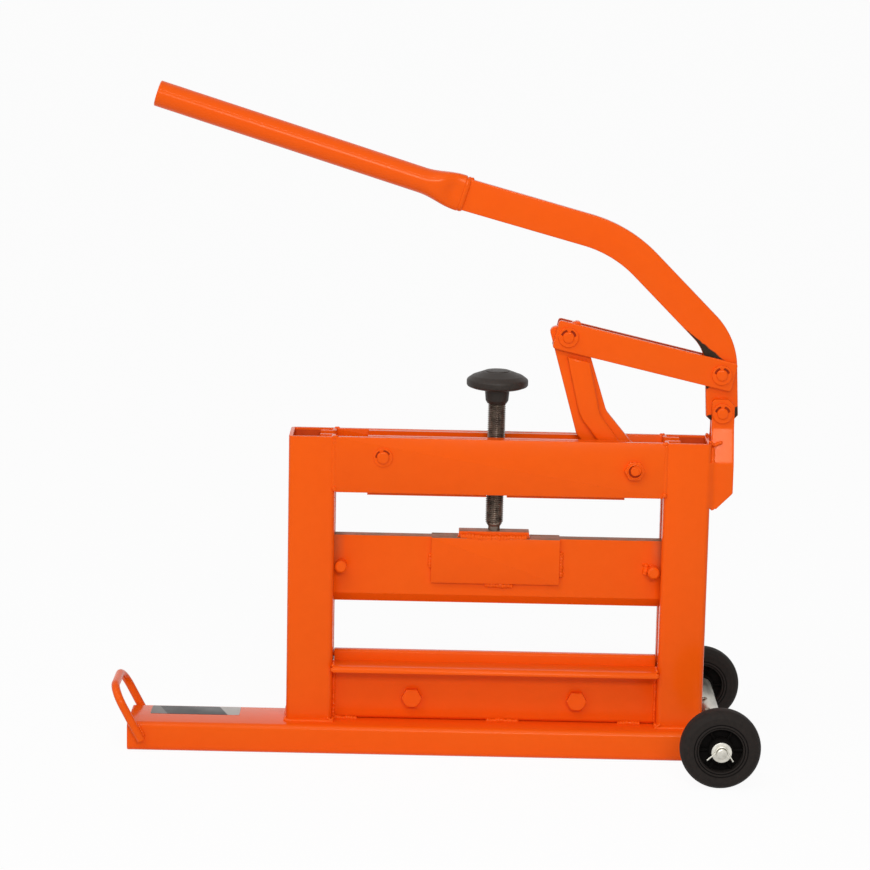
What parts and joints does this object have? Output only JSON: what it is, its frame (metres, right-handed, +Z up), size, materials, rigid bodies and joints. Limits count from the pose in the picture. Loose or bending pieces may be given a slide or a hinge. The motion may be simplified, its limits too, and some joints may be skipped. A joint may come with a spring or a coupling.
{
  "type": "masonry block splitter",
  "caption": "Hand-lever block splitter: orange welded frame, two blades, screw height setting, wheels.",
  "frame": {"origin": "on the ground, midway between the posts, in the plane of the blades", "axes": "+Z up; +X along the base towards the wheels; +Y from the front to the back"},
  "size_m": [0.6501, 0.2856, 0.6743],
  "materials": {
    "orange_paint": "gloss",
    "oiled_steel": "satin",
    "zinc_plate": "satin",
    "tyre_rubber": "matte",
    "black_plastic": "matte"
  },
  "bodies": {
    "frame": {"base_rail": "orange_paint", "left_post": "orange_paint", "right_post": "orange_paint", "front_top_rail": "orange_paint", "back_top_rail": "orange_paint", "front_anvil_angle": "orange_paint", "back_anvil_angle": "orange_paint", "lower_blade": "orange_paint", "clamp_bolts": "orange_paint", "clamp_nuts": "orange_paint", "front_cheek": "orange_paint", "back_cheek": "orange_paint", "fulcrum_pin": "orange_paint", "fulcrum_rings": "orange_paint", "rocker_bolt": "orange_paint", "rocker_nut": "orange_paint", "press_pin": "orange_paint", "carry_handle": "orange_paint", "axle_tube": "zinc_plate", "axle": "zinc_plate", "axle_washers": "zinc_plate", "split_pins": "zinc_plate"},
    "lever": {"lever_bar": "orange_paint", "handle_tube": "orange_paint"},
    "link": {"front_link": "orange_paint", "back_link": "orange_paint", "link_pins": "orange_paint", "link_rings": "orange_paint"},
    "rocker": {"rocker_plate": "orange_paint", "front_doubler": "orange_paint", "back_doubler": "orange_paint", "toe_pin": "oiled_steel"},
    "press": {"front_press_plate": "orange_paint", "back_press_plate": "orange_paint"},
    "nut": {"nut_block": "oiled_steel"},
    "blade": {"upper_blade": "orange_paint", "front_saddle": "orange_paint", "back_saddle": "orange_paint", "thrust_block": "orange_paint", "guide_pins": "orange_paint", "tip_retainer": "orange_paint"},
    "screw": {"screw_spindle": "oiled_steel", "knob": "black_plastic"},
    "front_wheel": {"front_tyre": "tyre_rubber", "front_hub": "black_plastic"},
    "back_wheel": {"back_tyre": "tyre_rubber", "back_hub": "black_plastic"}
  },
  "joints": [
    {"name": "handle_swing", "type": "hinge", "parent": "frame", "child": "lever", "pos_m": [0.222, 0, 0.354], "axis": [0, -1, 0], "range_deg": [-25, 26]},
    {"name": "link_turn", "type": "hinge", "parent": "lever", "child": "link", "pos_m": [0.22002, 0, 0.393], "axis": [0, -1, 0], "range_deg": [-23, 22]},
    {"name": "rocker_swing", "type": "hinge", "parent": "frame", "child": "rocker", "pos_m": [0.135, 0, 0.297], "axis": [0, -1, 0], "range_deg": [-8.5, 8.8]},
    {"name": "press_swing", "type": "hinge", "parent": "frame", "child": "press", "pos_m": [-0.117, 0, 0.305], "axis": [0, -1, 0], "range_deg": [-1.4, 1.4]},
    {"name": "nut_tilt", "type": "hinge", "parent": "press", "child": "nut", "pos_m": [-0.004, 0, 0.3], "axis": [0, -1, 0], "range_deg": [-1.4, 1.4]},
    {"name": "blade_feed", "type": "slide", "parent": "nut", "child": "blade", "axis": [0, 0, -1], "range_m": [-0.03, 0.03]},
    {"name": "knob_turn", "type": "hinge", "parent": "blade", "child": "screw", "pos_m": [-0.004, 0, 0.3], "axis": [0, 0, -1], "range_deg": [-5410, 5410]},
    {"name": "front_wheel_spin", "type": "hinge", "parent": "frame", "child": "front_wheel", "pos_m": [0.2216, -0.124, 0.04], "axis": [0, 1, 0], "continuous": true},
    {"name": "back_wheel_spin", "type": "hinge", "parent": "frame", "child": "back_wheel", "pos_m": [0.2216, 0.116, 0.04], "axis": [0, 1, 0], "continuous": true}
  ],
  "couplings": [
    {"joint": "link_turn", "follows": "handle_swing", "ratio": -0.8629},
    {"joint": "rocker_swing", "follows": "handle_swing", "ratio": 0.3323},
    {"joint": "press_swing", "follows": "handle_swing", "ratio": -0.05117},
    {"joint": "nut_tilt", "follows": "handle_swing", "ratio": 0.05117},
    {"joint": "knob_turn", "follows": "blade_feed", "rad_per_m": 3141.6}
  ]
}
